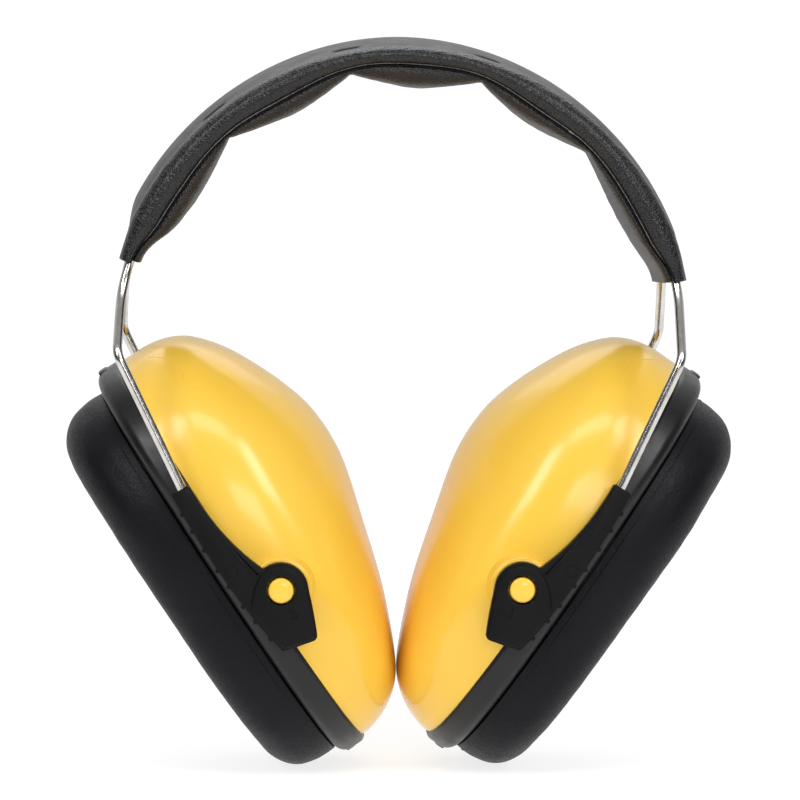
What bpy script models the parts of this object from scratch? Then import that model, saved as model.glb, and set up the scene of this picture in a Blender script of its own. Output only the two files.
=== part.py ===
"""Over-the-head earmuff hearing protector, standing with its cups turned inside out.

X runs from the left cup to the right cup, Y from the front wire to the rear wire, Z up.
The origin is on the floor, midway between the cups and midway between the two wires.
Each cup is modelled about its pivot pins: local X points out of the dome, local Z along
the cup towards its long end, and local Y along the pins.
"""

import math

import bmesh
import bpy
from mathutils import Matrix, Vector

MM = 0.001
GAP = 0.3 * MM

# Where each cup hangs, and how far its long axis leans from the vertical.
PIN_X = 25.25 * MM
CUP_TILT = {"left": math.radians(33.2), "right": math.radians(34.6)}

# Cup rim, seen along the dome's axis: a rounded oval, further above the pins than below.
RIM_HALF_LENGTH = 48.5 * MM
RIM_HALF_WIDTH = 36.6 * MM
RIM_CENTRE = 8.85 * MM
RIM_SQUARENESS = 2.5
OVAL_POINTS = 28

RIM_TOP = -4.6 * MM
RIM_BOTTOM = -10.3 * MM
RIM_WALL = 2.4 * MM
EAR_INSET = 19.0 * MM
FLANGE = 1.8 * MM

SHELL_WALL = 2.0 * MM
# Dome sections: height over the pin axis, short end, long end, half width.
DOME_SECTIONS = [
    (-4.3, -38.8, 56.0, 35.9),
    (-2.0, -38.8, 56.0, 35.9),
    (3.5, -36.6, 55.9, 35.5),
    (8.4, -32.6, 54.5, 34.2),
    (11.8, -26.5, 51.8, 32.4),
    (17.0, -13.9, 45.3, 27.5),
    (21.4, 0.2, 36.9, 20.0),
    (24.0, 9.6, 30.0, 11.5),
    (25.2, 15.5, 24.5, 5.0),
]

# Cushion: its outer edge as an oval, then its section as (inset from that oval, height).
# The flat sealing face is the lowest run.
CUSHION_HALF_LENGTH = 46.2 * MM
CUSHION_HALF_WIDTH = 34.8 * MM
CUSHION_CENTRE = 7.2 * MM
SKIN_WALL = 1.0 * MM
SKIN_SECTION = [
    (0.0, -10.8),
    (0.3, -14.2),
    (1.3, -17.8),
    (3.4, -21.2),
    (6.2, -23.4),
    (8.3, -24.2),
    (12.0, -24.2),
    (14.2, -23.2),
    (16.0, -21.0),
    (16.8, -17.6),
    (17.0, -10.8),
]
FOAM_TOP = -12.8 * MM

# Pivot pins, which are one piece with the cup shell, and the bosses they stand on.
PIN_RADIUS = 2.65 * MM
PIN_TIP = 42.0 * MM
BOSS_RADIUS = 6.8 * MM
BOSS_FACE = 37.5 * MM

# Slider arms: flat mouldings between these distances from the middle plane.
ARM_INNER = 38.0 * MM
ARM_OUTER = 41.2 * MM
ARM_PAD = 41.8 * MM
ARM_HOLE = 3.05 * MM

# Spring wires.
WIRE_RADIUS = 1.0 * MM
WIRE_SPREAD = 39.6 * MM
WIRE_LEAN = math.radians(25.4)
WIRE_ENTRY = Vector((-20.7 * MM, 0.0, 21.3 * MM))
WIRE_GRIP = 5.0 * MM
WIRE_CHANNEL = 17.5 * MM
WIRE_CHANNEL_RADIUS = 1.3 * MM
WIRE_BEND = 31.3 * MM
WIRE_STEP = 3.0 * MM

# Headband arch: a superellipse, walked by arc length from its crown.
ARCH_HALF_SPAN = 62.5 * MM
ARCH_RISE = 62.4 * MM
ARCH_BASE = 93.3 * MM
ARCH_ROUNDNESS = 1.85
BAND_HALF_LENGTH = 82.5 * MM
# The sleeve has slid this far along its wires, towards the right cup.
BAND_SHIFT = 3.5 * MM
BAND_STEPS = 32
WIRE_DEPTH = 3.2 * MM
WIRE_LANE = 27.2 * MM
WIRE_SPLIT = 58.0 * MM
COVER_BOTTOM = 5.2 * MM

SCALLOPS = 5
SCALLOP_LENGTH = 30.8 * MM
PAD_TOP = 5.5 * MM
PAD_VALLEY = 6.9 * MM
PAD_BELLY = 9.4 * MM
PAD_END_BELLY = 7.8 * MM
PAD_HALF_WIDTH = 28.0 * MM

PLATE_TOP = 0.9 * MM
PLATE_BOTTOM = 2.1 * MM
PLATE_HALF_WIDTH = 22.0 * MM
PLATE_END = 4.0 * MM
SLOT_PLACES = [15.4 * MM, 46.2 * MM, 74.0 * MM]
SLOT_LENGTH = 5.0 * MM
SLOT_WIDTH = 1.3 * MM
SLOT_LANE = 20.0 * MM


def clear_scene():
    for obj in list(bpy.data.objects):
        bpy.data.objects.remove(obj, do_unlink=True)


def new_collection(name):
    collection = bpy.data.collections.new(name)
    bpy.context.scene.collection.children.link(collection)
    return collection


def material(name, colour, roughness, metallic=0.0):
    made = bpy.data.materials.get(name)
    if made:
        return made
    made = bpy.data.materials.new(name)
    made.use_nodes = True
    shader = made.node_tree.nodes["Principled BSDF"]
    shader.inputs["Base Color"].default_value = (*colour, 1.0)
    shader.inputs["Roughness"].default_value = roughness
    shader.inputs["Metallic"].default_value = metallic
    return made


def yellow_plastic(name):
    return material(name, (0.95, 0.55, 0.06), 0.22)


def black_plastic(name):
    return material(name, (0.012, 0.012, 0.014), 0.5)


def black_leather(name):
    return material(name, (0.011, 0.011, 0.014), 0.55)


def foam(name):
    return material(name, (0.03, 0.03, 0.032), 0.95)


def spring_steel(name):
    return material(name, (0.75, 0.74, 0.72), 0.18, 1.0)


def add_object(name, mesh, made, collection, parent=None):
    obj = bpy.data.objects.new(name, mesh)
    collection.objects.link(obj)
    obj.parent = parent
    if made:
        mesh.materials.append(made)
        mesh.shade_smooth()
        mesh.set_sharp_from_angle(angle=math.radians(35))
    return obj


def add_empty(name, collection, location=(0, 0, 0), parent=None):
    empty = bpy.data.objects.new(name, None)
    empty.location = location
    empty.parent = parent
    collection.objects.link(empty)
    return empty


def mesh_from(name, bm):
    bmesh.ops.recalc_face_normals(bm, faces=bm.faces)
    mesh = bpy.data.meshes.new(name)
    bm.to_mesh(mesh)
    bm.free()
    return mesh


def loft(name, rings, cap_ends=False, join_ends=False):
    """A skin through closed rings of points, in order."""
    bm = bmesh.new()
    rows = [[bm.verts.new(point) for point in ring] for ring in rings]
    pairs = list(zip(rows, rows[1:]))
    if join_ends:
        pairs.append((rows[-1], rows[0]))
    for lower, upper in pairs:
        for i in range(len(lower)):
            j = (i + 1) % len(lower)
            bm.faces.new((lower[i], lower[j], upper[j], upper[i]))
    if cap_ends:
        bm.faces.new(rows[0])
        bm.faces.new(rows[-1])
    return mesh_from(name, bm)


def cylinder(name, radius, start, end, segments=28):
    """A closed cylinder between two points."""
    along = Vector(end) - Vector(start)
    bm = bmesh.new()
    bmesh.ops.create_cone(
        bm, cap_ends=True, segments=segments, radius1=radius, radius2=radius, depth=along.length
    )
    turn = along.to_track_quat("Z", "Y").to_matrix().to_4x4()
    middle = Matrix.Translation((Vector(start) + Vector(end)) / 2)
    bmesh.ops.transform(bm, matrix=middle @ turn, verts=bm.verts)
    return mesh_from(name, bm)


def box(name, low, high):
    bm = bmesh.new()
    bmesh.ops.create_cube(bm, size=1.0)
    centre = (Vector(low) + Vector(high)) / 2
    size = Vector(high) - Vector(low)
    bmesh.ops.transform(bm, matrix=Matrix.Translation(centre) @ Matrix.Diagonal((*size, 1)), verts=bm.verts)
    return mesh_from(name, bm)


def boolean(obj, other, operation):
    step = obj.modifiers.new(operation.lower() + "_" + other.name, "BOOLEAN")
    step.object = other
    step.operation = operation
    step.solver = "EXACT"


def helper(name, mesh, cutters, parent=None):
    """An object that only shapes others."""
    obj = add_object(name, mesh, None, cutters, parent)
    obj.hide_render = True
    obj.display_type = "WIRE"
    return obj


def bezier(start, control, end, points):
    """Points along a curved run, without its last one."""
    run = []
    for i in range(points):
        t = i / points
        a, b, c = (1 - t) ** 2, 2 * t * (1 - t), t * t
        run.append((a * start[0] + b * control[0] + c * end[0], a * start[1] + b * control[1] + c * end[1]))
    return run


def arc(centre, radius, start, end, points):
    """Points along a round run, angles in degrees, both ends included."""
    run = []
    for i in range(points):
        angle = math.radians(start + (end - start) * i / (points - 1))
        run.append((centre[0] + radius * math.cos(angle), centre[1] + radius * math.sin(angle)))
    return run


def extruded(name, outline, low, high):
    """A flat outline in the XZ plane, given in mm, as thick as from low to high along Y."""
    curve = bpy.data.curves.new(name, "CURVE")
    curve.dimensions = "2D"
    curve.fill_mode = "BOTH"
    curve.extrude = abs(high - low) / 2
    spline = curve.splines.new("POLY")
    spline.points.add(len(outline) - 1)
    for point, (x, z) in zip(spline.points, outline):
        point.co = (x * MM, z * MM, 0.0, 1.0)
    spline.use_cyclic_u = True
    mesh = curve_mesh(curve)
    mesh.transform(Matrix.Translation((0, (low + high) / 2, 0)) @ Matrix.Rotation(math.pi / 2, 4, "X"))
    return mesh


def curve_mesh(curve):
    """The curve's mesh with its caps welded on. The curve is removed."""
    obj = bpy.data.objects.new(curve.name, curve)
    bpy.context.scene.collection.objects.link(obj)
    graph = bpy.context.evaluated_depsgraph_get()
    mesh = bpy.data.meshes.new_from_object(obj.evaluated_get(graph))
    bpy.data.objects.remove(obj)
    bpy.data.curves.remove(curve)
    bm = bmesh.new()
    bm.from_mesh(mesh)
    bmesh.ops.remove_doubles(bm, verts=bm.verts, dist=0.001 * MM)
    bmesh.ops.recalc_face_normals(bm, faces=bm.faces)
    bm.to_mesh(mesh)
    bm.free()
    return mesh


def wire(name, points, parts, parent=None):
    """A round wire along a run of points."""
    curve = bpy.data.curves.new(name, "CURVE")
    curve.dimensions = "3D"
    curve.bevel_depth = WIRE_RADIUS
    curve.bevel_resolution = 2
    curve.use_fill_caps = True
    spline = curve.splines.new("POLY")
    spline.points.add(len(points) - 1)
    for point, place in zip(spline.points, points):
        point.co = (*place, 1.0)
    curve.materials.append(spring_steel("spring_steel"))
    obj = bpy.data.objects.new(name, curve)
    obj.parent = parent
    parts.objects.link(obj)
    return obj


# Cups ---------------------------------------------------------------------------------------


def oval(centre, half_length, half_width, height):
    """A rounded oval across the cup's axis, at one height."""
    power = 2 / RIM_SQUARENESS
    ring = []
    for i in range(OVAL_POINTS):
        angle = 2 * math.pi * i / OVAL_POINTS
        along, across = math.cos(angle), math.sin(angle)
        z = centre + half_length * math.copysign(abs(along) ** power, along)
        y = half_width * math.copysign(abs(across) ** power, across)
        ring.append((height, y, z))
    return ring


def rim_oval(inset, height):
    return oval(RIM_CENTRE, RIM_HALF_LENGTH - inset, RIM_HALF_WIDTH - inset, height)


def cushion_oval(inset, height):
    return oval(CUSHION_CENTRE, CUSHION_HALF_LENGTH - inset, CUSHION_HALF_WIDTH - inset, height)


def ring_body(name, section, place, made, parts, cup):
    """A ring around the ear opening, from a closed section of (inset, height) on one oval."""
    mesh = loft(name, [place(inset, height) for inset, height in section], join_ends=True)
    return add_object(name, mesh, made, parts, cup)


def add_cup_shell(side, cup, parts, cutters):
    name = side + "_cup_shell"
    rings = []
    for height, short_end, long_end, half_width in DOME_SECTIONS:
        centre = (short_end + long_end) / 2 * MM
        rings.append(oval(centre, (long_end - short_end) / 2 * MM, half_width * MM, height * MM))
    bm = bmesh.new()
    rows = [[bm.verts.new(point) for point in ring] for ring in rings]
    for lower, upper in zip(rows, rows[1:]):
        for i in range(OVAL_POINTS):
            j = (i + 1) % OVAL_POINTS
            bm.faces.new((lower[i], lower[j], upper[j], upper[i]))
    bm.faces.new(rows[-1])
    bmesh.ops.recalc_face_normals(bm, faces=bm.faces)
    if rows[-1][0].link_faces[0].normal.x < 0:
        bmesh.ops.reverse_faces(bm, faces=bm.faces)
    mesh = bpy.data.meshes.new(name)
    bm.to_mesh(mesh)
    bm.free()
    shell = add_object(name, mesh, yellow_plastic(name), parts, cup)
    wall = shell.modifiers.new("wall", "SOLIDIFY")
    wall.thickness = SHELL_WALL
    wall.offset = -1.0
    base = DOME_SECTIONS[0][0] * MM
    trim = helper(side + "_boss_trim", box("boss_trim", (base - 0.03, -0.1, -0.03), (base, 0.1, 0.03)), cutters, cup)
    for face, facing in (("front", -1), ("rear", 1)):
        boss_mesh = cylinder("boss", BOSS_RADIUS, (0, facing * 34.6 * MM, 0), (0, facing * BOSS_FACE, 0), 32)
        boss = helper(f"{side}_{face}_boss", boss_mesh, cutters, cup)
        boolean(boss, trim, "DIFFERENCE")
        pin_mesh = cylinder("pin", PIN_RADIUS, (0, facing * (BOSS_FACE - 0.6 * MM), 0), (0, facing * PIN_TIP, 0))
        pin = helper(f"{side}_{face}_pin", pin_mesh, cutters, cup)
        boolean(shell, boss, "UNION")
        boolean(shell, pin, "UNION")


def add_cup_rim(side, cup, parts):
    flange = RIM_BOTTOM + FLANGE
    section = [
        (0.5 * MM, RIM_TOP),
        (0.0, RIM_TOP - 0.6 * MM),
        (0.0, RIM_BOTTOM + 1.2 * MM),
        (1.2 * MM, RIM_BOTTOM),
        (EAR_INSET, RIM_BOTTOM),
        (EAR_INSET, flange),
        (RIM_WALL, flange),
        (RIM_WALL, RIM_TOP),
    ]
    ring_body(side + "_cup_rim", section, rim_oval, black_plastic(side + "_cup_rim"), parts, cup)


def add_liner(side, cup, parts):
    name = side + "_cup_liner"
    bottom = RIM_BOTTOM + FLANGE + GAP
    sections = [(4.0 * MM, bottom), (4.0 * MM, -3.0 * MM), (7.5 * MM, 3.5 * MM), (10.0 * MM, 5.0 * MM)]
    mesh = loft(name, [rim_oval(inset, height) for inset, height in sections], cap_ends=True)
    add_object(name, mesh, foam(name), parts, cup)


def inner_section(section, wall):
    """A section moved inwards by a wall, each point along the bisector of its two runs."""
    moved = []
    for i, point in enumerate(section):
        before = section[max(i - 1, 0)]
        after = section[min(i + 1, len(section) - 1)]
        run = Vector((after[0] - before[0], after[1] - before[1])).normalized()
        moved.append((point[0] - run.y * wall, point[1] + run.x * wall))
    return moved


def add_cushion(side, cup, parts):
    outer = [(inset * MM, height * MM) for inset, height in SKIN_SECTION]
    inner = inner_section(outer, SKIN_WALL)
    open_edge = outer[0][1]
    inner[0] = (outer[0][0] + SKIN_WALL, open_edge)
    inner[-1] = (outer[-1][0] - SKIN_WALL, open_edge)
    skin = side + "_cushion_skin"
    ring_body(skin, outer + inner[::-1], cushion_oval, black_leather(skin), parts, cup)

    plate = side + "_cushion_plate"
    plate_top = RIM_BOTTOM - GAP
    plate_bottom = FOAM_TOP + GAP
    left_edge = inner[0][0] + 1.2 * MM
    right_edge = inner[-1][0] - GAP
    section = [
        (left_edge, plate_top),
        (left_edge, plate_bottom),
        (right_edge, plate_bottom),
        (right_edge, plate_top),
    ]
    ring_body(plate, section, cushion_oval, black_plastic(plate), parts, cup)

    core = inner_section(outer, SKIN_WALL + GAP)
    core = [point for point in core if point[1] < FOAM_TOP]
    core.insert(0, (core[0][0] - 0.2 * MM, FOAM_TOP))
    core.append((core[-1][0], FOAM_TOP))
    name = side + "_cushion_foam"
    ring_body(name, core, cushion_oval, foam(name), parts, cup)


def pin_height():
    """Height of the pins when the left cushion's lower edge rests on the floor."""
    tilt = CUP_TILT["left"]
    lowest = 0.0
    for inset, height in SKIN_SECTION:
        end = CUSHION_CENTRE - (CUSHION_HALF_LENGTH - inset * MM)
        lowest = min(lowest, end * math.cos(tilt) + height * MM * math.sin(tilt))
    return -lowest


# Arms ---------------------------------------------------------------------------------------


def arm_outline():
    outline = [(-22.7, 19.7), (-22.0, 20.5), (-19.7, 22.0), (-19.1, 21.8)]
    outline += bezier((-18.7, 21.2), (-12.6, 10.7), (-3.8, 4.5), 9)
    outline += arc((0, 0), 5.75, 130, 10, 12)
    outline += bezier((5.75, 0.4), (6.8, -3.9), (7.6, -9.3), 5)[1:]
    outline += arc((6.3, -9.5), 1.3, 0, -70, 4)
    outline += [(0.3, -12.8)]
    outline += bezier((0.3, -12.8), (-9.7, -3.1), (-22.7, 19.7), 14)[1:]
    return outline


def pad_outline():
    """The thicker lower part of the arm, around the pin hole."""
    outline = arc((0, 0), 5.35, 150, 10, 12)
    outline += bezier((5.35, 0.4), (6.4, -3.9), (7.2, -9.1), 5)[1:]
    outline += arc((6.0, -9.3), 1.2, 0, -70, 4)
    outline += [(0.5, -12.4), (-1.9, -9.7), (-6.1, -4.5), (-5.6, -1.6)]
    return outline


def pocket_outline():
    """The shallow three-cornered pocket between the arm's edge and its rib."""
    return [(-11.6, 10.0), (-5.0, 2.2), (-4.1, 3.8), (-7.8, 6.7)]


def wire_line(depth):
    """A point on the wire's straight run, relative to the pin, so far inside the arm."""
    down = Vector((math.sin(WIRE_LEAN), 0, -math.cos(WIRE_LEAN)))
    return WIRE_ENTRY + down * depth


def add_arm(side, face, facing, pivot, parts, cutters):
    name = f"{side}_{face}_arm"
    low, high = sorted((facing * ARM_INNER, facing * ARM_OUTER))
    arm = add_object(name, extruded(name, arm_outline(), low, high), black_plastic(name), parts, pivot)

    low, high = sorted((facing * (ARM_INNER + 0.4 * MM), facing * ARM_PAD))
    pad = helper(name + "_pad", extruded("arm_pad", pad_outline(), low, high), cutters, pivot)
    boolean(arm, pad, "UNION")

    low, high = sorted((facing * (ARM_OUTER - 0.7 * MM), facing * (ARM_OUTER + 2 * MM)))
    pocket = helper(name + "_pocket", extruded("arm_pocket", pocket_outline(), low, high), cutters, pivot)
    boolean(arm, pocket, "DIFFERENCE")

    hole_mesh = cylinder("arm_hole", ARM_HOLE, (0, facing * 36 * MM, 0), (0, facing * 44 * MM, 0), 32)
    boolean(arm, helper(name + "_hole", hole_mesh, cutters, pivot), "DIFFERENCE")

    lane = Vector((0, facing * WIRE_SPREAD, 0))
    top, bottom = wire_line(-6 * MM) + lane, wire_line(WIRE_CHANNEL) + lane
    channel_mesh = cylinder("arm_channel", WIRE_CHANNEL_RADIUS, top, bottom, 16)
    boolean(arm, helper(name + "_channel", channel_mesh, cutters, pivot), "DIFFERENCE")

    depth = WIRE_CHANNEL - 4.5 * MM
    slot_mesh = box(
        "arm_slot", (-8 * MM, -WIRE_CHANNEL_RADIUS, -depth / 2), (0, WIRE_CHANNEL_RADIUS, depth / 2)
    )
    lean = Matrix.Rotation(-WIRE_LEAN, 4, "Y")
    middle = wire_line(4.5 * MM + depth / 2) + lane
    slot_mesh.transform(Matrix.Translation(middle) @ lean)
    boolean(arm, helper(name + "_slot", slot_mesh, cutters, pivot), "DIFFERENCE")


# Headband -----------------------------------------------------------------------------------


def arch_table(steps=2000):
    """Points on the right half of the arch with their distance from the crown."""
    power = 2 / ARCH_ROUNDNESS
    table = []
    walked = 0.0
    last = None
    for i in range(steps + 1):
        angle = math.pi / 2 * i / steps
        x = ARCH_HALF_SPAN * math.sin(angle) ** power
        z = ARCH_BASE + ARCH_RISE * max(math.cos(angle), 0.0) ** power
        if last:
            walked += math.dist((x, z), last)
        last = (x, z)
        table.append((walked, x, z))
    return table


ARCH = arch_table()


def on_arch(distance):
    """The arch's point at a distance from its crown, negative to the left."""
    goal = abs(distance)
    low, high = 0, len(ARCH) - 1
    while high - low > 1:
        middle = (low + high) // 2
        if ARCH[middle][0] < goal:
            low = middle
        else:
            high = middle
    near, far = ARCH[low], ARCH[high]
    share = (goal - near[0]) / (far[0] - near[0])
    x = near[1] + share * (far[1] - near[1])
    z = near[2] + share * (far[2] - near[2])
    return Vector((math.copysign(x, distance), 0, z))


def arch_frame(distance):
    """The arch's point and its outward normal."""
    step = 1.0 * MM
    run = (on_arch(distance + step) - on_arch(distance - step)).normalized()
    return on_arch(distance), Vector((-run.z, 0, run.x))


def across_arch(distance, section):
    """A section of (y, depth under the arch) as points at one place along it."""
    point, outward = arch_frame(distance)
    return [point - outward * depth + Vector((0, y, 0)) for y, depth in section]


def spread_places(middle, half_length, steps):
    """Distances along the arch, evenly spaced on both sides of one of them."""
    return [middle + half_length * (2 * i / steps - 1) for i in range(steps + 1)]


def cover_section():
    """Channel section: two rounded edges with a groove for a wire in each, and a web between."""
    groove = (WIRE_LANE - 1.4 * MM, WIRE_LANE + 1.4 * MM)
    web = PLATE_BOTTOM + GAP
    outside = [
        (PLATE_HALF_WIDTH + GAP, web),
        (PLATE_HALF_WIDTH + 0.6 * MM, 0.8 * MM),
        (24.8 * MM, 0.1 * MM),
        (27.2 * MM, 0.0),
        (29.4 * MM, 0.9 * MM),
        (30.5 * MM, 2.7 * MM),
        (30.2 * MM, 4.4 * MM),
        (29.4 * MM, COVER_BOTTOM),
    ]
    inside = [
        (groove[1], COVER_BOTTOM),
        (groove[1], 1.7 * MM),
        (groove[0], 1.7 * MM),
        (groove[0], COVER_BOTTOM),
    ]
    half = outside + inside
    return half + [(-y, depth) for y, depth in reversed(half)]


def add_cover(parts):
    name = "headband_cover"
    rings = [across_arch(s, cover_section()) for s in spread_places(BAND_SHIFT, BAND_HALF_LENGTH, BAND_STEPS)]
    add_object(name, loft(name, rings, cap_ends=True), black_leather(name), parts)


def add_plate(parts, cutters):
    name = "headband_plate"
    section = [
        (-PLATE_HALF_WIDTH, PLATE_TOP),
        (PLATE_HALF_WIDTH, PLATE_TOP),
        (PLATE_HALF_WIDTH, PLATE_BOTTOM),
        (-PLATE_HALF_WIDTH, PLATE_BOTTOM),
    ]
    places = spread_places(BAND_SHIFT, BAND_HALF_LENGTH - PLATE_END, BAND_STEPS)
    rings = [across_arch(s, section) for s in places]
    plate = add_object(name, loft(name, rings, cap_ends=True), black_plastic(name), parts)
    half = Vector((SLOT_LENGTH, SLOT_WIDTH, 6 * MM)) / 2
    for distance in [sign * place for place in SLOT_PLACES for sign in (-1, 1)]:
        point, outward = arch_frame(BAND_SHIFT + distance)
        for facing in (-1, 1):
            slot = helper(f"plate_slot_{len(cutters.objects)}", box("plate_slot", -half, half), cutters)
            slot.location = point + Vector((0, facing * SLOT_LANE, 0))
            slot.rotation_euler = (0, math.atan2(outward.x, outward.z), 0)
            boolean(plate, slot, "DIFFERENCE")


def pad_depth(distance):
    """How far the scalloped underside hangs under the arch, by distance from the pad's middle."""
    phase = distance / SCALLOP_LENGTH + SCALLOPS / 2
    swell = abs(math.sin(math.pi * phase)) ** 0.7
    in_end_scallop = abs(distance) > (SCALLOPS / 2 - 1) * SCALLOP_LENGTH
    belly = PAD_END_BELLY if in_end_scallop else PAD_BELLY
    return PAD_VALLEY + (belly - PAD_VALLEY) * swell


def add_pad(parts):
    name = "headband_pad"
    rings = []
    for distance in spread_places(BAND_SHIFT, SCALLOPS * SCALLOP_LENGTH / 2, SCALLOPS * 6):
        depth = pad_depth(distance - BAND_SHIFT)
        shoulder = PAD_TOP + 0.55 * (depth - PAD_TOP)
        half = [
            (PAD_HALF_WIDTH - 0.6 * MM, PAD_TOP),
            (PAD_HALF_WIDTH, shoulder),
            (PAD_HALF_WIDTH - 2.4 * MM, depth - 0.3 * MM),
            (PAD_HALF_WIDTH - 7 * MM, depth),
        ]
        rings.append(across_arch(distance, half + [(-y, drop) for y, drop in reversed(half)]))
    add_object(name, loft(name, rings, cap_ends=True), black_leather(name), parts)


# Wires --------------------------------------------------------------------------------------


def lane_point(distance, facing):
    return across_arch(distance, [(facing * WIRE_LANE, WIRE_DEPTH)])[0]


def add_crown_wire(face, facing, parts):
    count = round(2 * WIRE_SPLIT / (1.6 * WIRE_STEP))
    places = spread_places(0, WIRE_SPLIT, count)
    wire(face + "_wire_crown", [lane_point(s, facing) for s in places], parts)


def fillet(before, corner, after, radius, points):
    """Points round a bend between two straight runs."""
    one = (before - corner).normalized()
    two = (after - corner).normalized()
    half = one.angle(two) / 2
    reach = radius / math.tan(half)
    start, end = corner + one * reach, corner + two * reach
    run = []
    for i in range(points + 1):
        t = i / points
        run.append(start * (1 - t) ** 2 + corner * 2 * t * (1 - t) + end * t * t)
    return run


def leg_points(facing, pin):
    """The left leg's centre line, from inside the sleeve down into the arm."""
    inside = []
    distance = WIRE_SPLIT + 0.5 * MM
    sleeve_end = BAND_HALF_LENGTH + BAND_SHIFT
    while distance < sleeve_end - 1.0 * MM:
        inside.append(lane_point(-distance, facing))
        distance += 1.6 * WIRE_STEP
    exit_point = lane_point(-sleeve_end - 1.0 * MM, facing)
    lane = Vector((0, facing * WIRE_SPREAD, 0))
    bend = pin + wire_line(-WIRE_BEND) + lane
    tip = pin + wire_line(WIRE_GRIP) + lane
    upper = fillet(inside[-1], exit_point, bend, 5 * MM, 3)
    lower = fillet(exit_point, bend, tip, 4 * MM, 5)
    return inside[:-1] + upper + lower + [tip]


# Assembly -----------------------------------------------------------------------------------


def add_side(side, mirror, parts, cutters):
    whole = add_empty(side + "_side", parts)
    whole.scale.x = mirror
    pin = Vector((-PIN_X, 0, pin_height()))
    pivot = add_empty(side + "_pivot", parts, pin, whole)
    cup = add_empty(side + "_cup", parts, (0, 0, 0), pivot)
    cup.rotation_euler.y = -CUP_TILT[side]
    add_cup_shell(side, cup, parts, cutters)
    add_cup_rim(side, cup, parts)
    add_liner(side, cup, parts)
    add_cushion(side, cup, parts)
    for face, facing in (("front", -1), ("rear", 1)):
        add_arm(side, face, facing, pivot, parts, cutters)
        wire(f"{side}_{face}_wire", leg_points(facing, pin), parts, whole)


def main():
    clear_scene()
    parts = new_collection("earmuff")
    cutters = new_collection("cutters")
    add_cover(parts)
    add_plate(parts, cutters)
    add_pad(parts)
    for face, facing in (("front", -1), ("rear", 1)):
        add_crown_wire(face, facing, parts)
    add_side("left", 1, parts, cutters)
    add_side("right", -1, parts, cutters)


main()
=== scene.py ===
"""Looks of the earmuff: every visible piece is modelled finely here, and the cup and arm pieces ride on
their CAD bodies.

Row frame: X from the left cup to the right cup, Y from the front wires to the rear wires, Z up.
Lengths inside the functions are in millimetres, and meshes are made in metres.
Cup space: n out of the dome, y along the pins, z towards the cup's long end.
"""

import math

import bmesh
import bpy
import numpy as np
from mathutils import Matrix, Vector, noise


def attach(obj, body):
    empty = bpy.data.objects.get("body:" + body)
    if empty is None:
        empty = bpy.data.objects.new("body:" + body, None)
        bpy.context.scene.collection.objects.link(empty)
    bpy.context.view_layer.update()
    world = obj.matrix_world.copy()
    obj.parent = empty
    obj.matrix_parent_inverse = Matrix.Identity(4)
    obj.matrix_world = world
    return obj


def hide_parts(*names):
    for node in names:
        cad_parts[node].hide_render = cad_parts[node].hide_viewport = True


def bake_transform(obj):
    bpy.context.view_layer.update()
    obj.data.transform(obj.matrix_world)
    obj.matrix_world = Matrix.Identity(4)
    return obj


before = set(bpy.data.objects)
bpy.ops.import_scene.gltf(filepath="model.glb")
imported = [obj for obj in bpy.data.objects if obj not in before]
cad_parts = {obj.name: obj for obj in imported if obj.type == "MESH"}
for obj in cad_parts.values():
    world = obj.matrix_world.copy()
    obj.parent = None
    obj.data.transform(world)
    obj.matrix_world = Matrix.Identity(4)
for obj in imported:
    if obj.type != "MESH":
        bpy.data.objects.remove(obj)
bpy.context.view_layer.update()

MM = 0.001
SIDES = (("left", 1.0), ("right", -1.0))
FACES = (("front", -1.0), ("rear", 1.0))

# Driving sizes in mm. The rim, arch and sleeve follow the photo more closely than the CAD part does.
PIN_X = 25.25
PIN_Z = 41.4
CUP_TILT = {"left": math.radians(33.2), "right": math.radians(34.6)}
RIM_CENTRE, RIM_HALF_LENGTH, RIM_HALF_WIDTH = 8.25, 48.45, 36.6
RIM_TOP, RIM_BOTTOM = -4.6, -10.3
CUSHION_CENTRE, CUSHION_HALF_LENGTH, CUSHION_HALF_WIDTH = 7.2, 46.2, 34.8
ARM_INNER, ARM_OUTER, ARM_PAD, ARM_HOLE = 38.0, 41.2, 41.8, 3.15
WIRE_RADIUS, WIRE_SPREAD, WIRE_LANE, WIRE_DEPTH = 1.0, 39.6, 27.2, 3.2
WIRE_GRIP, WIRE_CHANNEL, WIRE_CHANNEL_RADIUS = 5.0, 17.5, 1.3
WIRE_LEAN = math.radians(25.4)
WIRE_ENTRY = np.array((-20.7, 0.0, 21.3))
WIRE_BEND = {"left": 31.3, "right": 29.6}
ARCH_HALF_SPAN, ARCH_RISE, ARCH_BASE, ARCH_ROUNDNESS = 62.5, 61.7, 93.3, 1.95
BAND_HALF_LENGTH, BAND_SHIFT, BAND_SKEW = 82.2, 4.3, 1.8
SCALLOP = 30.8

CAMERA_DISTANCE = 1.5
CAMERA_AZIMUTH = math.radians(-1.4)
CAMERA_ELEVATION = math.radians(4.6)
CAMERA_AIM = Vector((0.64, 0.0, 78.0)) * MM
CAMERA_LENS = 314.6


# Materials ------------------------------------------------------------------------------------


def set_range(node, low, high, out_low, out_high):
    """Makes a Map Range node turn low..high into out_low..out_high."""
    for socket, number in zip(("From Min", "From Max", "To Min", "To Max"), (low, high, out_low, out_high)):
        node.inputs[socket].default_value = number


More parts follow.
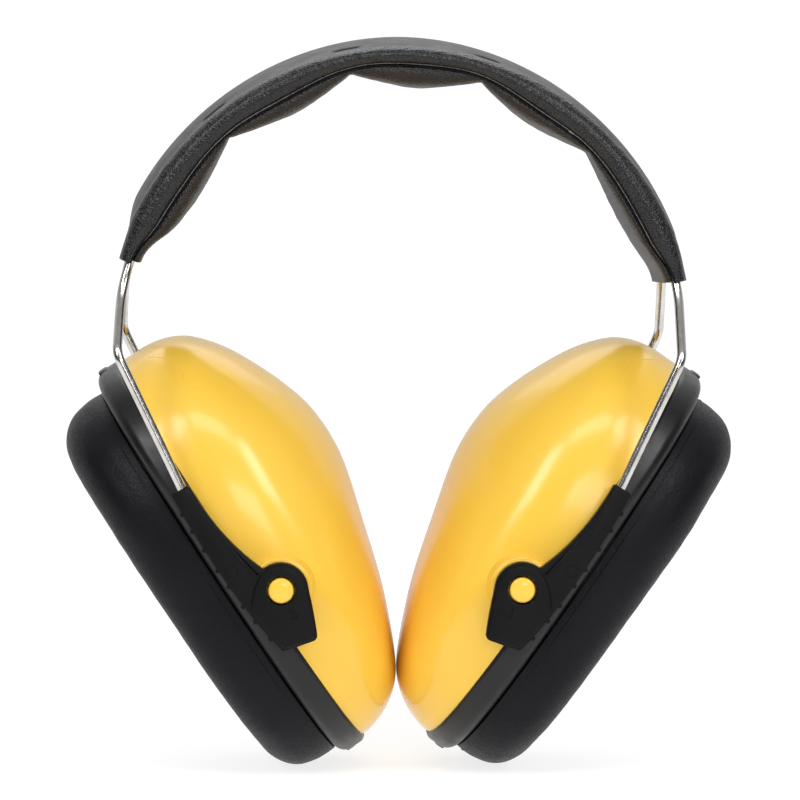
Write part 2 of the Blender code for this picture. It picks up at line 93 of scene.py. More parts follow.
class Nodes:
    """A material's node tree, with short calls for the nodes that the finishes share."""

    def __init__(self, name, roughness=0.5, metallic=0.0, colour=(0.5, 0.5, 0.5), **uniform):
        self.material = bpy.data.materials.new(name)
        self.material.use_nodes = True
        self.tree = self.material.node_tree
        self.shader = self.tree.nodes["Principled BSDF"]
        self.material.diffuse_color = (*colour, 1.0)
        self.set("Base Color", (*colour, 1.0))
        self.set("Roughness", roughness)
        self.set("Metallic", metallic)
        for socket, value in uniform.items():
            self.set(socket.replace("_", " "), value)
        self.place = self.add("ShaderNodeTexCoord").outputs["Object"]

    def set(self, socket, value):
        self.shader.inputs[socket].default_value = value

    def add(self, kind, **settings):
        node = self.tree.nodes.new(kind)
        for name, value in settings.items():
            setattr(node, name, value)
        return node

    def link(self, output, socket):
        self.tree.links.new(output, socket)

    def noise(self, scale, detail=4.0, roughness=0.55, distortion=0.0, place=None):
        node = self.add("ShaderNodeTexNoise")
        node.inputs["Scale"].default_value = scale
        node.inputs["Detail"].default_value = detail
        node.inputs["Roughness"].default_value = roughness
        node.inputs["Distortion"].default_value = distortion
        self.link(place or self.place, node.inputs["Vector"])
        return node.outputs["Fac"]

    def cells(self, scale, feature="F1", smoothness=0.4, place=None):
        node = self.add("ShaderNodeTexVoronoi", feature=feature)
        node.inputs["Scale"].default_value = scale
        if feature == "SMOOTH_F1":
            node.inputs["Smoothness"].default_value = smoothness
        self.link(place or self.place, node.inputs["Vector"])
        return node.outputs["Distance"]

    def stretched(self, scale, turn=(0, 0, 0)):
        node = self.add("ShaderNodeMapping")
        node.inputs["Scale"].default_value = scale
        node.inputs["Rotation"].default_value = turn
        self.link(self.place, node.inputs["Vector"])
        return node.outputs["Vector"]

    def ramp(self, value, low, high, out_low, out_high):
        node = self.add("ShaderNodeMapRange")
        set_range(node, low, high, out_low, out_high)
        self.link(value, node.inputs["Value"])
        return node.outputs["Result"]

    def tint(self, value, stops):
        node = self.add("ShaderNodeValToRGB")
        ramp = node.color_ramp
        while len(ramp.elements) < len(stops):
            ramp.elements.new(0.5)
        for element, (place, colour) in zip(ramp.elements, stops):
            element.position = place
            element.color = (*colour, 1.0)
        self.link(value, node.inputs["Fac"])
        return node.outputs["Color"]

    def colour(self, output):
        self.link(output, self.shader.inputs["Base Color"])

    def roughness(self, output):
        self.link(output, self.shader.inputs["Roughness"])

    def bump(self, *layers):
        """Layers of (height, strength, distance in mm), finest last. A strength below zero inverts."""
        normal = None
        for height, strength, distance in layers:
            node = self.add("ShaderNodeBump")
            node.inputs["Distance"].default_value = distance * MM
            node.invert = strength < 0
            node.inputs["Strength"].default_value = abs(strength)
            self.link(height, node.inputs["Height"])
            if normal:
                self.link(normal, node.inputs["Normal"])
            normal = node.outputs["Normal"]
        self.link(normal, self.shader.inputs["Normal"])


def yellow_gloss():
    gloss = {"Specular_IOR_Level": 0.4, "Coat_Weight": 0.1, "Coat_Roughness": 0.08}
    made = Nodes("yellow_gloss_plastic", 0.25, colour=(0.93, 0.58, 0.07), **gloss)
    blotch = made.noise(28, 3)
    made.colour(made.tint(blotch, [(0.3, (0.915, 0.56, 0.06)), (0.7, (0.94, 0.595, 0.078))]))
    scuffs = made.noise(420, 6, 0.7, 1.5, made.stretched((1, 1, 0.25), (0.3, 0.5, 0.0)))
    made.roughness(made.ramp(scuffs, 0.35, 0.75, 0.2, 0.28))
    made.bump((made.noise(60, 2), 0.25, 0.12), (made.noise(900, 2), 0.06, 0.03))
    return made.material


def satin_black(name, colour, rough, grain, strength, gloss=0.15):
    made = Nodes(name, rough, colour=colour, Specular_IOR_Level=gloss)
    cloud = made.noise(90, 4)
    darker = tuple(0.75 * c for c in colour)
    lighter = tuple(1.35 * c for c in colour)
    made.colour(made.tint(cloud, [(0.3, darker), (0.75, lighter)]))
    spark = made.noise(grain, 3, 0.65)
    wear = made.noise(260, 5, 0.6)
    made.roughness(made.ramp(wear, 0.3, 0.75, rough - 0.06, rough + 0.1))
    made.bump((made.noise(140, 2), 0.15, 0.1), (spark, strength, 0.05))
    return made.material


def leather(name, colours, rough, cell, wrinkle_turn, coat=0.0):
    gloss = {"Specular_IOR_Level": 0.42, "Coat_Weight": coat, "Coat_Roughness": 0.3}
    made = Nodes(name, rough, colour=colours[0], **gloss)
    cloud = made.noise(120, 4)
    made.colour(made.tint(cloud, [(0.3, colours[0]), (0.75, colours[1])]))
    pebbles = made.cells(cell, "SMOOTH_F1", 0.35)
    warped = made.stretched((1.0, 1.0, 0.3), wrinkle_turn)
    wrinkles = made.noise(620, 3, 0.6, 0.8, warped)
    pores = made.noise(4200, 2)
    made.roughness(made.ramp(pebbles, 0.0, 0.7, rough - 0.05, rough + 0.1))
    made.bump((wrinkles, 0.45, 0.3), (pebbles, -0.85, 0.3), (pores, 0.15, 0.03))
    return made.material


def cushion_vinyl():
    made = Nodes("cushion_black_vinyl", 0.42, colour=(0.006, 0.006, 0.0085), Specular_IOR_Level=0.18)
    cloud = made.noise(70, 4)
    made.colour(made.tint(cloud, [(0.3, (0.003, 0.003, 0.005)), (0.75, (0.0055, 0.0055, 0.0082))]))
    grain = made.cells(1700, "SMOOTH_F1", 0.3)
    creases = made.noise(240, 4, 0.6, 0.6, made.stretched((1, 0.5, 1)))
    made.roughness(made.ramp(grain, 0.0, 0.7, 0.36, 0.52))
    made.bump((creases, 0.25, 0.18), (grain, -0.4, 0.1))
    return made.material


def chrome_wire():
    made = Nodes("nickel_spring_wire", 0.14, 1.0, (0.66, 0.64, 0.61))
    smear = made.noise(300, 3)
    made.colour(made.tint(smear, [(0.3, (0.58, 0.56, 0.53)), (0.7, (0.74, 0.72, 0.69))]))
    drawn = made.noise(1400, 4, 0.6, 0.0, made.stretched((1, 1, 0.06)))
    made.roughness(made.ramp(drawn, 0.3, 0.7, 0.16, 0.26))
    made.bump((drawn, 0.01, 0.01))
    return made.material


def thread():
    made = Nodes("welt_thread", 0.55, colour=(0.09, 0.088, 0.088))
    twist = made.noise(2600, 2)
    # Painted shade: the noise that raises the twist's strands also paints its low grooves darker and its
    # strands lighter.
    made.colour(made.tint(twist, [(0.35, (0.05, 0.048, 0.048)), (0.65, (0.14, 0.135, 0.135))]))
    made.bump((twist, 0.5, 0.08))
    return made.material


def cell_foam(name, colour):
    made = Nodes(name, 0.95, colour=colour, Specular_IOR_Level=0.2)
    cells = made.cells(1100)
    coarse = made.noise(300, 4)
    # Painted shade: the cell pits are painted darker, as shade in the pores, and the raised cell walls a
    # little lighter.
    pore_shade = tuple(0.35 * c for c in colour)
    wall = tuple(1.2 * c for c in colour)
    made.colour(made.tint(cells, [(0.05, pore_shade), (0.5, wall)]))
    made.roughness(made.ramp(coarse, 0.3, 0.7, 0.88, 1.0))
    made.bump((coarse, 0.5, 0.4), (cells, 0.8, 0.35))
    return made.material


BAND_BLACKS = ((0.0025, 0.0025, 0.0042), (0.005, 0.005, 0.0072))
PAD_BROWNS = ((0.0085, 0.0052, 0.0034), (0.0145, 0.0092, 0.0062))

YELLOW = yellow_gloss()
RIM_BLACK = satin_black("rim_satin_black", (0.004, 0.004, 0.0043), 0.36, 2400, 0.1, 0.45)
ARM_BLACK = satin_black("arm_satin_black", (0.004, 0.004, 0.0045), 0.4, 3200, 0.22)
PLATE_BLACK = satin_black("plate_matte_black", (0.014, 0.014, 0.018), 0.42, 2800, 0.25, 0.5)
BAND_LEATHER = leather("band_grain_leather", BAND_BLACKS, 0.26, 1900, (0.4, 0.6, 0.0), 0.25)
STRIP_LEATHER = satin_black("band_smooth_edge", (0.003, 0.003, 0.0048), 0.5, 1800, 0.1)
PAD_LEATHER = leather("pad_brown_black_leather", PAD_BROWNS, 0.38, 2000, (0.0, 0.9, 0.0))
CUSHION_VINYL = cushion_vinyl()
CHROME = chrome_wire()
THREAD = thread()
LINER_FOAM = cell_foam("liner_charcoal_foam", (0.05, 0.05, 0.053))
CORE_FOAM = cell_foam("cushion_core_foam", (0.16, 0.15, 0.13))


# Mesh helpers ---------------------------------------------------------------------------------


def rings_mesh(name, rings, closed_along=False, caps=False):
    """A skin through rings of points in mm. Each ring is closed."""
    points = np.concatenate([np.asarray(ring, float) for ring in rings]) * MM
    count = len(rings[0])
    rows = len(rings)
    faces = []
    for r in range(rows if closed_along else rows - 1):
        low, high = r * count, ((r + 1) % rows) * count
        for i in range(count):
            j = (i + 1) % count
            faces.append((low + i, low + j, high + j, high + i))
    if caps:
        faces.append(tuple(range(count))[::-1])
        faces.append(tuple(range((rows - 1) * count, rows * count)))
    mesh = bpy.data.meshes.new(name)
    mesh.from_pydata(points.tolist(), [], faces)
    return face_outwards(mesh)


def face_outwards(mesh):
    bm = bmesh.new()
    bm.from_mesh(mesh)
    bmesh.ops.recalc_face_normals(bm, faces=bm.faces)
    bm.to_mesh(mesh)
    bm.free()
    return mesh


def add_piece(name, mesh, material, sharp=35.0):
    piece = bpy.data.objects.new(name, mesh)
    bpy.context.scene.collection.objects.link(piece)
    for made in material if isinstance(material, (list, tuple)) else [material]:
        mesh.materials.append(made)
    mesh.shade_smooth()
    mesh.set_sharp_from_angle(angle=math.radians(sharp))
    return piece


def apply_modifiers(piece):
    graph = bpy.context.evaluated_depsgraph_get()
    mesh = bpy.data.meshes.new_from_object(piece.evaluated_get(graph))
    piece.modifiers.clear()
    piece.data = mesh
    return mesh


def spline(keys, steps):
    """Points along a smooth run through rows of numbers, steps to each gap, both ends included."""
    keys = np.asarray(keys, float)
    ends = np.vstack([2 * keys[0] - keys[1], keys, 2 * keys[-1] - keys[-2]])
    out = []
    for i in range(len(keys) - 1):
        a, b, c, d = ends[i : i + 4]
        for k in range(steps):
            t = k / steps
            squared = (2 * a - 5 * b + 4 * c - d) * t**2
            cubed = (3 * b - a - 3 * c + d) * t**3
            out.append(0.5 * (2 * b + (c - a) * t + squared + cubed))
    out.append(keys[-1])
    return np.array(out)


def superoval(centre, half_length, half_width, count, power=2.5):
    """(y, z) around a rounded oval."""
    angle = 2 * np.pi * np.arange(count) / count
    c, s = np.cos(angle), np.sin(angle)
    z = centre + half_length * np.sign(c) * np.abs(c) ** (2 / power)
    y = half_width * np.sign(s) * np.abs(s) ** (2 / power)
    return y, z


def even_oval(centre, half_length, half_width, count, power=2.5):
    """The same oval with its points evenly spaced along it."""
    y, z = superoval(centre, half_length, half_width, 2000, power)
    y, z = np.append(y, y[0]), np.append(z, z[0])
    walked = np.concatenate([[0], np.cumsum(np.hypot(np.diff(y), np.diff(z)))])
    goal = np.linspace(0, walked[-1], count, endpoint=False)
    return np.interp(goal, walked, y), np.interp(goal, walked, z)


def in_cup(side, n, y, z):
    """Cup space to the row frame, in mm."""
    mirror = dict(SIDES)[side]
    tilt = CUP_TILT[side]
    n, y, z = np.broadcast_arrays(*[np.asarray(v, float) for v in (n, y, z)])
    x = -PIN_X + n * math.cos(tilt) - z * math.sin(tilt)
    up = PIN_Z + n * math.sin(tilt) + z * math.cos(tilt)
    return np.stack([mirror * x, y, up], axis=-1)


def cup_ring(side, centre, half_length, half_width, height, count, power=2.5):
    y, z = even_oval(centre, half_length, half_width, count, power)
    return in_cup(side, height, y, z)


def tube_rings(points, radius, sides=14):
    """Rings of a round tube along points in mm, without twist."""
    points = np.asarray(points, float)
    runs = np.gradient(points, axis=0)
    runs /= np.linalg.norm(runs, axis=1)[:, None]
    across = np.cross(runs[0], (0.0, 1.0, 0.0))
    if np.linalg.norm(across) < 0.1:
        across = np.cross(runs[0], (1.0, 0.0, 0.0))
    rings = []
    angle = 2 * np.pi * np.arange(sides) / sides
    radius = np.broadcast_to(radius, len(points))
    for point, run, r in zip(points, runs, radius):
        across = across - run * np.dot(across, run)
        across /= np.linalg.norm(across)
        up = np.cross(run, across)
        rings.append(point + r * (np.outer(np.cos(angle), across) + np.outer(np.sin(angle), up)))
    return rings


def tube_mesh(name, points, radius, sides=14, closed=False):
    if closed:
        points = np.asarray(points, float)
        wrapped = np.vstack([points[-1:], points, points[:1]])
        rings = tube_rings(wrapped, radius, sides)[1:-1]
        return rings_mesh(name, rings, closed_along=True)
    return rings_mesh(name, tube_rings(points, radius, sides), caps=True)


def join(name, meshes):
    """One mesh out of several. Their material indices are kept."""
    bm = bmesh.new()
    for mesh in meshes:
        bm.from_mesh(mesh)
    out = bpy.data.meshes.new(name)
    bm.to_mesh(out)
    bm.free()
    return out


# Cups -----------------------------------------------------------------------------------------

# height over the pins, short end, long end, half width, oval power
DOME = [
    (-5.2, -38.9, 56.1, 35.95, 2.5),
    (-2.0, -38.8, 56.05, 35.9, 2.5),
    (3.5, -36.7, 55.9, 35.5, 2.48),
    (8.4, -32.6, 54.5, 34.2, 2.42),
    (12.4, -25.4, 51.7, 31.7, 2.35),
    (17.0, -14.0, 45.8, 26.9, 2.25),
    (21.2, 0.2, 37.3, 19.8, 2.15),
    (23.7, 9.0, 30.5, 12.6, 2.1),
    (24.8, 14.2, 26.0, 6.8, 2.05),
    (25.2, 18.4, 21.8, 1.9, 2.0),
]


DOME_STEPS = 7
DOME_RING_POINTS = 144
DOME_WALL = 2.0


def dome_rings(side, steps, wall, drop):
    """Rings up the dome, moved in by the wall and lowered by a share of their height."""
    rings = []
    for height, short_end, long_end, half_width, power in spline(DOME, steps):
        centre = (short_end + long_end) / 2
        half_length = (long_end - short_end) / 2 - wall
        level = height - drop * max(height, 0) / 8
        rings.append(cup_ring(side, centre, half_length, half_width - wall, level, DOME_RING_POINTS, power))
    return rings


def add_shell(side):
    outer = dome_rings(side, DOME_STEPS, 0.0, 0.0)
    inner = dome_rings(side, 2, DOME_WALL, 0.35)[:-3]
    mesh = rings_mesh(side + "_shell", inner[::-1] + outer, caps=True)
    shell = add_piece(side + "_yellow_dome", mesh, YELLOW)
    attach(shell, side + "_cup")
    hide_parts(side + "_cup_shell")
    for face, facing in FACES:
        add_pin(side, face, facing)
        add_mould_line(side, face, facing)


# radius, distance from the middle plane
PIN_PROFILE = [
    (7.3, 34.0), (7.05, 35.3), (6.85, 35.9), (6.7, 36.4), (6.6, 36.9), (6.5, 37.2), (6.25, 37.42),
    (5.8, 37.5), (3.2, 37.5), (2.85, 37.6), (2.68, 37.9), (2.65, 38.4), (2.65, 41.5), (2.55, 41.85),
    (2.2, 42.05), (1.4, 42.2), (0.5, 42.27),
]
PIN_SEGMENTS = 56


def add_pin(side, face, facing):
    """Pivot pin and boss, turned about the pin's axis, with the boss cut off level with the rim."""
    angle = 2 * np.pi * np.arange(PIN_SEGMENTS) / PIN_SEGMENTS
    rings = [in_cup(side, r * np.cos(angle), facing * y, r * np.sin(angle)) for r, y in PIN_PROFILE]
    mesh = rings_mesh("pin", rings, caps=True)
    bm = bmesh.new()
    bm.from_mesh(mesh)
    point = Vector(in_cup(side, RIM_TOP + 0.1, 0, 0)) * MM
    normal = (Vector(in_cup(side, 1, 0, 0)) - Vector(in_cup(side, 0, 0, 0))).normalized()
    geometry = list(bm.verts) + list(bm.edges) + list(bm.faces)
    cut = bmesh.ops.bisect_plane(bm, geom=geometry, plane_co=point, plane_no=-normal, clear_outer=True)
    edges = [item for item in cut["geom_cut"] if isinstance(item, bmesh.types.BMEdge)]
    bmesh.ops.contextual_create(bm, geom=edges)
    bm.to_mesh(mesh)
    bm.free()
    pin = add_piece(f"{side}_{face}_pivot_pin", face_outwards(mesh), YELLOW, 50)
    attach(pin, side + "_cup")


def add_mould_line(side, face, facing):
    """Faint moulded line over the dome's upper corner, lying on its surface."""
    keys = spline(DOME, DOME_STEPS)
    y = np.linspace(13.0, 24.0, 40)
    n = 6.8 - 0.055 * (y - 22.0) ** 2
    short_end, long_end, half_width, power = (np.interp(n, keys[:, 0], keys[:, k]) for k in (1, 2, 3, 4))
    reach = (1 - (y / half_width) ** power) ** (1 / power)
    z = (short_end + long_end) / 2 + (long_end - short_end) / 2 * reach
    mesh = tube_mesh("line", in_cup(side, n, facing * y, z), 0.06, 8)
    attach(add_piece(f"{side}_{face}_mould_line", mesh, YELLOW), side + "_cup")


def oval_section(side, place, section, count=176):
    """Rings around the ear opening for each (inset, height) of a section."""
    centre, half_length, half_width = place
    return [cup_ring(side, centre, half_length - i, half_width - i, h, count) for i, h in section]


RIM_PLACE = (RIM_CENTRE, RIM_HALF_LENGTH, RIM_HALF_WIDTH)
CUSHION_PLACE = (CUSHION_CENTRE, CUSHION_HALF_LENGTH, CUSHION_HALF_WIDTH)


def rounded(corners, steps=4):
    """A closed section of (inset, height, radius) corners, as points round each bend."""
    out = []
    count = len(corners)
    for i, (x, y, radius) in enumerate(corners):
        here = np.array((x, y))
        before = np.array(corners[i - 1][:2]) - here
        after = np.array(corners[(i + 1) % count][:2]) - here
        if radius <= 0:
            out.append(tuple(here))
            continue
        start = here + before / np.linalg.norm(before) * radius
        end = here + after / np.linalg.norm(after) * radius
        for k in range(steps + 1):
            t = k / steps
            out.append(tuple((1 - t) ** 2 * start + 2 * t * (1 - t) * here + t * t * end))
    return out


def add_rim(side):
    corners = [
        (0.75, RIM_TOP + 0.55, 0.3), (0.1, RIM_TOP - 0.3, 0.5), (0.0, -8.6, 1.0), (1.4, RIM_BOTTOM, 1.1),
        (19.0, RIM_BOTTOM, 0.4), (19.0, -8.5, 0.4), (2.4, -8.5, 0.3), (2.4, RIM_TOP + 0.55, 0.3),
    ]
    meshes = [rings_mesh("rim", oval_section(side, RIM_PLACE, rounded(corners)), closed_along=True)]
    meshes += [rim_tab(side, end) for end in (1, -1)]
    rim = add_piece(side + "_rim_ring", join("rim", meshes), RIM_BLACK)
    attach(rim, side + "_cup")
    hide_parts(side + "_cup_rim")


TAB_HALF_LENGTH, TAB_REACH = 3.6, 0.28


def rim_tab(side, end):
    """Snap tab on the rim's end: a rounded bar that stands out a little."""
    tip = RIM_CENTRE + end * RIM_HALF_LENGTH
    rings = []
    for y in np.linspace(-TAB_HALF_LENGTH, TAB_HALF_LENGTH, 17):
        reach = TAB_REACH * (1 - (abs(y) / TAB_HALF_LENGTH) ** 6) ** 0.5 + 0.02
        low_edge, high_edge = (reach * 0.7, -9.0), (reach * 0.7, -7.1)
        section = [(-0.8, -8.9), low_edge, (reach, -8.6), (reach, -7.6), high_edge, (-0.8, -6.9)]
        drop = 0.0011 * abs(y) ** 3
        rings.append([tuple(in_cup(side, n, y, tip + end * (z - drop))) for z, n in section])
    return rings_mesh("tab", rings, caps=True)


# inset, height, oval power
LINER_SECTION = [
    (12.0, 5.0, 2.5), (7.5, 3.2, 2.5), (4.4, -2.6, 2.5), (3.9, -7.6, 2.5), (6.5, -8.25, 2.5),
    (17.5, -8.35, 2.5), (19.6, -8.8, 2.5), (22.5, -9.5, 2.4), (27.0, -10.0, 2.3), (34.0, -10.2, 2.2),
]
LINER_RING_POINTS = 120


def add_liner(side):
    """Foam block in the cup, its face swelling a little into the ear opening."""
    rings = []
    for inset, height, power in spline(LINER_SECTION, 4):
        half_width = max(RIM_HALF_WIDTH - inset, 0.8)
        y, z = even_oval(RIM_CENTRE, RIM_HALF_LENGTH - inset, half_width, LINER_RING_POINTS, power)
        bumps = np.array([noise.noise(Vector((a, b, 3.0)) * 0.16) for a, b in zip(y, z)])
        swell = np.where(height < -8.4, 0.45, 0.0)
        rings.append(in_cup(side, height + swell * bumps, y, z))
    liner = add_piece(side + "_foam_liner", rings_mesh("liner", rings, caps=True), LINER_FOAM, 60)
    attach(liner, side + "_cup")
    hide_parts(side + "_cup_liner")


# Cushions -------------------------------------------------------------------------------------

PUFF_PRESSURE = 4.0
PUFF_FRAMES = 14


def cloth_puff(piece, cap, hold):
    """Swells a closed padded form as cloth under pressure, by cap mm at most.

    hold(point in m) is 1 where the cloth stays put and 0 where it is free.
    """
    scene = bpy.context.scene
    mesh = piece.data
    rest = np.array([v.co for v in mesh.vertices])
    held = piece.vertex_groups.new(name="held")
    for i, co in enumerate(rest):
        weight = hold(co)
        if weight > 0:
            held.add([i], weight, "REPLACE")
    cloth = piece.modifiers.new("cloth", "CLOTH")
    cloth.settings.use_pressure = True
    cloth.settings.uniform_pressure_force = PUFF_PRESSURE
    cloth.settings.effector_weights.gravity = 0
    cloth.settings.vertex_group_mass = "held"
    cloth.settings.quality = 6
    cloth.settings.mass = 0.15
    cloth.settings.tension_stiffness = 25
    cloth.settings.compression_stiffness = 12
    cloth.settings.bending_stiffness = 0.2
    cloth.collision_settings.use_collision = False
    cloth.point_cache.frame_start = 1
    cloth.point_cache.frame_end = PUFF_FRAMES
    for number in range(1, PUFF_FRAMES + 1):
        scene.frame_set(number)
    graph = bpy.context.evaluated_depsgraph_get()
    moved = np.array([v.co for v in piece.evaluated_get(graph).data.vertices])
    piece.modifiers.remove(cloth)
    piece.vertex_groups.clear()
    scene.frame_set(1)
    shift = moved - rest
    far = np.linalg.norm(shift, axis=1)
    shift *= np.minimum(1.0, cap * MM / np.maximum(far, 1e-9))[:, None]
    for vertex, co in zip(mesh.vertices, rest + shift):
        vertex.co = co


CUSHION_SECTION = [
    (0.9, -10.6, 0.3), (0.6, -14.0, 1.6), (1.6, -19.4, 2.6), (6.2, -23.6, 3.2),
    (13.8, -23.4, 2.4), (16.2, -19.0, 1.6), (16.9, -10.6, 0.3),
]
CUSHION_RING_POINTS = 132
WELTS = ((0.85, -12.4, 0.16), (16.6, -12.0, 0.2))


def cushion_lean(side, z):
    """How far the cushion's face stands short of its full depth, more so towards its upper end."""
    share = (z - CUSHION_CENTRE) / CUSHION_HALF_LENGTH
    return {"left": 0.25 + 0.5 * share, "right": 0.15 + 0.55 * share}[side]


def add_cushion(side):
    rings = []
    for inset, height in rounded(CUSHION_SECTION, 5):
        centre, half_length, half_width = CUSHION_PLACE
        y, z = even_oval(centre, half_length - inset, half_width - inset, CUSHION_RING_POINTS)
        depth = np.clip((-height - 10.6) / 13.0, 0, 1)
        height = height - depth * cushion_lean(side, z)
        rings.append(in_cup(side, height, y, z))
    mesh = rings_mesh("cushion", rings, closed_along=True)
    cushion = add_piece(side + "_padded_ring", mesh, CUSHION_VINYL, 60)
    out = Vector(in_cup(side, 1, 0, 0)) - Vector(in_cup(side, 0, 0, 0))
    base = Vector(in_cup(side, -11.4, 0, 0)) * MM
    cloth_puff(cushion, 0.8, lambda co: 1.0 if (Vector(co) - base).dot(out) > 0 else 0.0)
    finer = cushion.modifiers.new("finer", "SUBSURF")
    finer.levels = finer.render_levels = 1
    wrinkle(apply_modifiers(cushion), side)
    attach(cushion, side + "_cup")
    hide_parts(side + "_cushion_skin")
    for inset, height, radius in WELTS:
        path = oval_section(side, CUSHION_PLACE, [(inset, height)], 220)[0]
        mesh = tube_mesh("welt", path, radius, 8, True)
        welt = add_piece(f"{side}_welt_{-height:.0f}", mesh, CUSHION_VINYL)
        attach(welt, side + "_cup")


def wrinkle(mesh, side):
    """Shallow crumples in the skin, along its normals."""
    mesh.shade_smooth()
    normals = [v.normal.copy() for v in mesh.vertices]
    offset = Vector((7.0, 0, 0)) if side == "right" else Vector()
    for vertex, normal in zip(mesh.vertices, normals):
        place = vertex.co / MM
        soft = noise.noise(place * 0.07 + offset)
        fine = noise.noise(Vector((place.x * 0.35, place.y * 0.16, place.z * 0.35)) + offset)
        vertex.co += normal * (0.22 * soft + 0.07 * fine) * MM


def finish_cup_nodes(side):
    """Finishes for the CAD nodes that stay inside the cushion."""
    for node, made in ((side + "_cushion_foam", CORE_FOAM), (side + "_cushion_plate", RIM_BLACK)):
        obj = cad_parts[node]
        for material_slot in obj.material_slots:
            material_slot.material = made


# Arms -----------------------------------------------------------------------------------------


def bezier(start, control, end, points):
    t = np.arange(points)[:, None] / points
    start, control, end = (np.array(v, float) for v in (start, control, end))
    return [tuple(p) for p in (1 - t) ** 2 * start + 2 * t * (1 - t) * control + t * t * end]


def arc(centre, radius, start, end, points):
    angle = np.radians(np.linspace(start, end, points))
    return [(centre[0] + radius * math.cos(a), centre[1] + radius * math.sin(a)) for a in angle]


def arm_outline():
    outline = [(-22.8, 19.6), (-22.55, 20.1), (-22.0, 20.5), (-19.9, 21.85), (-19.4, 22.0), (-19.0, 21.7)]
    outline += bezier((-18.7, 21.2), (-12.6, 10.7), (-3.8, 4.5), 18)
    outline += arc((0, 0), 5.75, 130, 10, 24)
    outline += bezier((5.75, 0.4), (6.8, -3.9), (7.6, -9.3), 9)[1:]
    outline += arc((6.3, -9.5), 1.3, 0, -75, 8)
    outline += [(0.6, -12.9), (0.2, -12.75)]
    outline += bezier((0.1, -12.6), (-9.7, -3.1), (-22.8, 19.6), 26)[1:]
    return outline


def pad_outline():
    outline = arc((0, 0), 5.3, 160, 10, 24)
    outline += bezier((5.3, 0.4), (6.35, -3.9), (7.1, -9.0), 8)[1:]
    outline += arc((5.9, -9.2), 1.2, 0, -75, 7)
    outline += [(0.7, -12.3), (-1.9, -9.9), (-6.0, -4.7)]
    outline += bezier((-6.0, -4.7), (-6.4, -1.6), (-5.0, 1.8), 7)[1:]
    return outline


def arm_solid(outline, facing, low, high, bevel):
    """A flat moulding with rounded edges between two distances from the middle plane, in arm space."""
    bm = bmesh.new()
    near = [bm.verts.new((x * MM, facing * low * MM, z * MM)) for x, z in outline]
    far = [bm.verts.new((x * MM, facing * high * MM, z * MM)) for x, z in outline]
    bm.faces.new(near)
    bm.faces.new(far)
    for i in range(len(outline)):
        j = (i + 1) % len(outline)
        bm.faces.new((near[i], near[j], far[j], far[i]))
    bmesh.ops.recalc_face_normals(bm, faces=bm.faces)
    if bevel:
        rims = [edge for edge in bm.edges if edge.calc_face_angle(0) > math.radians(50)]
        style = {"segments": 3, "profile": 0.5, "affect": "EDGES", "clamp_overlap": True}
        bmesh.ops.bevel(bm, geom=rims, offset=bevel * MM, **style)
    mesh = bpy.data.meshes.new("arm")
    bm.to_mesh(mesh)
    bm.free()
    return mesh


def cylinder_mesh(start, end, radius, segments=40):
    points = np.array([start, end], float)
    return rings_mesh("cylinder", tube_rings(points, radius, segments), caps=True)


def wire_line(depth):
    down = np.array((math.sin(WIRE_LEAN), 0.0, -math.cos(WIRE_LEAN)))
    return WIRE_ENTRY + down * depth


def shape_with(piece, mesh, operation):
    tool = bpy.data.objects.new("tool", mesh)
    bpy.context.scene.collection.objects.link(tool)
    step = piece.modifiers.new(operation, "BOOLEAN")
    step.object = tool
    step.operation = operation
    step.solver = "EXACT"
    apply_modifiers(piece)
    bpy.data.objects.remove(tool)


def add_arm(side, mirror, face, facing):
    name = f"{side}_{face}_slider_arm"
    piece = bpy.data.objects.new(name, arm_solid(arm_outline(), facing, ARM_INNER, ARM_OUTER, 0.4))
    bpy.context.scene.collection.objects.link(piece)
    shape_with(piece, arm_solid(pad_outline(), facing, ARM_INNER + 0.5, ARM_PAD, 0.35), "UNION")
    pocket = [(-12.2, 10.9), (-8.6, 6.6), (-5.3, 3.0), (-4.6, 3.4), (-7.4, 6.2)]
    shape_with(piece, arm_solid(pocket, facing, ARM_OUTER - 0.8, ARM_OUTER + 1, 0), "DIFFERENCE")
    hole = cylinder_mesh((0, facing * 30, 0), (0, facing * 45, 0), ARM_HOLE, PIN_SEGMENTS)
    shape_with(piece, hole, "DIFFERENCE")
    lane = np.array((0, facing * WIRE_SPREAD, 0))
    channel = cylinder_mesh(wire_line(-6) + lane, wire_line(WIRE_CHANNEL) + lane, WIRE_CHANNEL_RADIUS, 24)
    shape_with(piece, channel, "DIFFERENCE")
    teardrop = arc((2.9, -5.4), 0.7, 31, -149, 9) + [(1.7, -3.6)]
    shape_with(piece, arm_solid(teardrop, facing, ARM_PAD - 0.35, ARM_PAD + 1, 0), "DIFFERENCE")
    meshes = [piece.data]
    meshes += arm_details(facing)
    mesh = join(name, meshes)
    mesh.transform(Matrix.Diagonal((mirror, 1, 1, 1)) @ Matrix.Translation(Vector((-PIN_X, 0, PIN_Z)) * MM))
    if mirror < 0:
        mesh.flip_normals()
    bpy.data.objects.remove(piece)
    piece = add_piece(name, mesh, ARM_BLACK, 28)
    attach(piece, side + "_arms")
    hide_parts(f"{side}_{face}_arm")


def circle(centre, radius, level, count):
    """Points round a circle that lies on the arm's face."""
    angle = np.linspace(0, 2 * np.pi, count, endpoint=False)
    return [(centre[0] + radius * math.cos(a), level, centre[1] + radius * math.sin(a)) for a in angle]


NIB_FIRST, NIB_STEP, NIB_RADIUS = 3.0, 4.6, 0.5


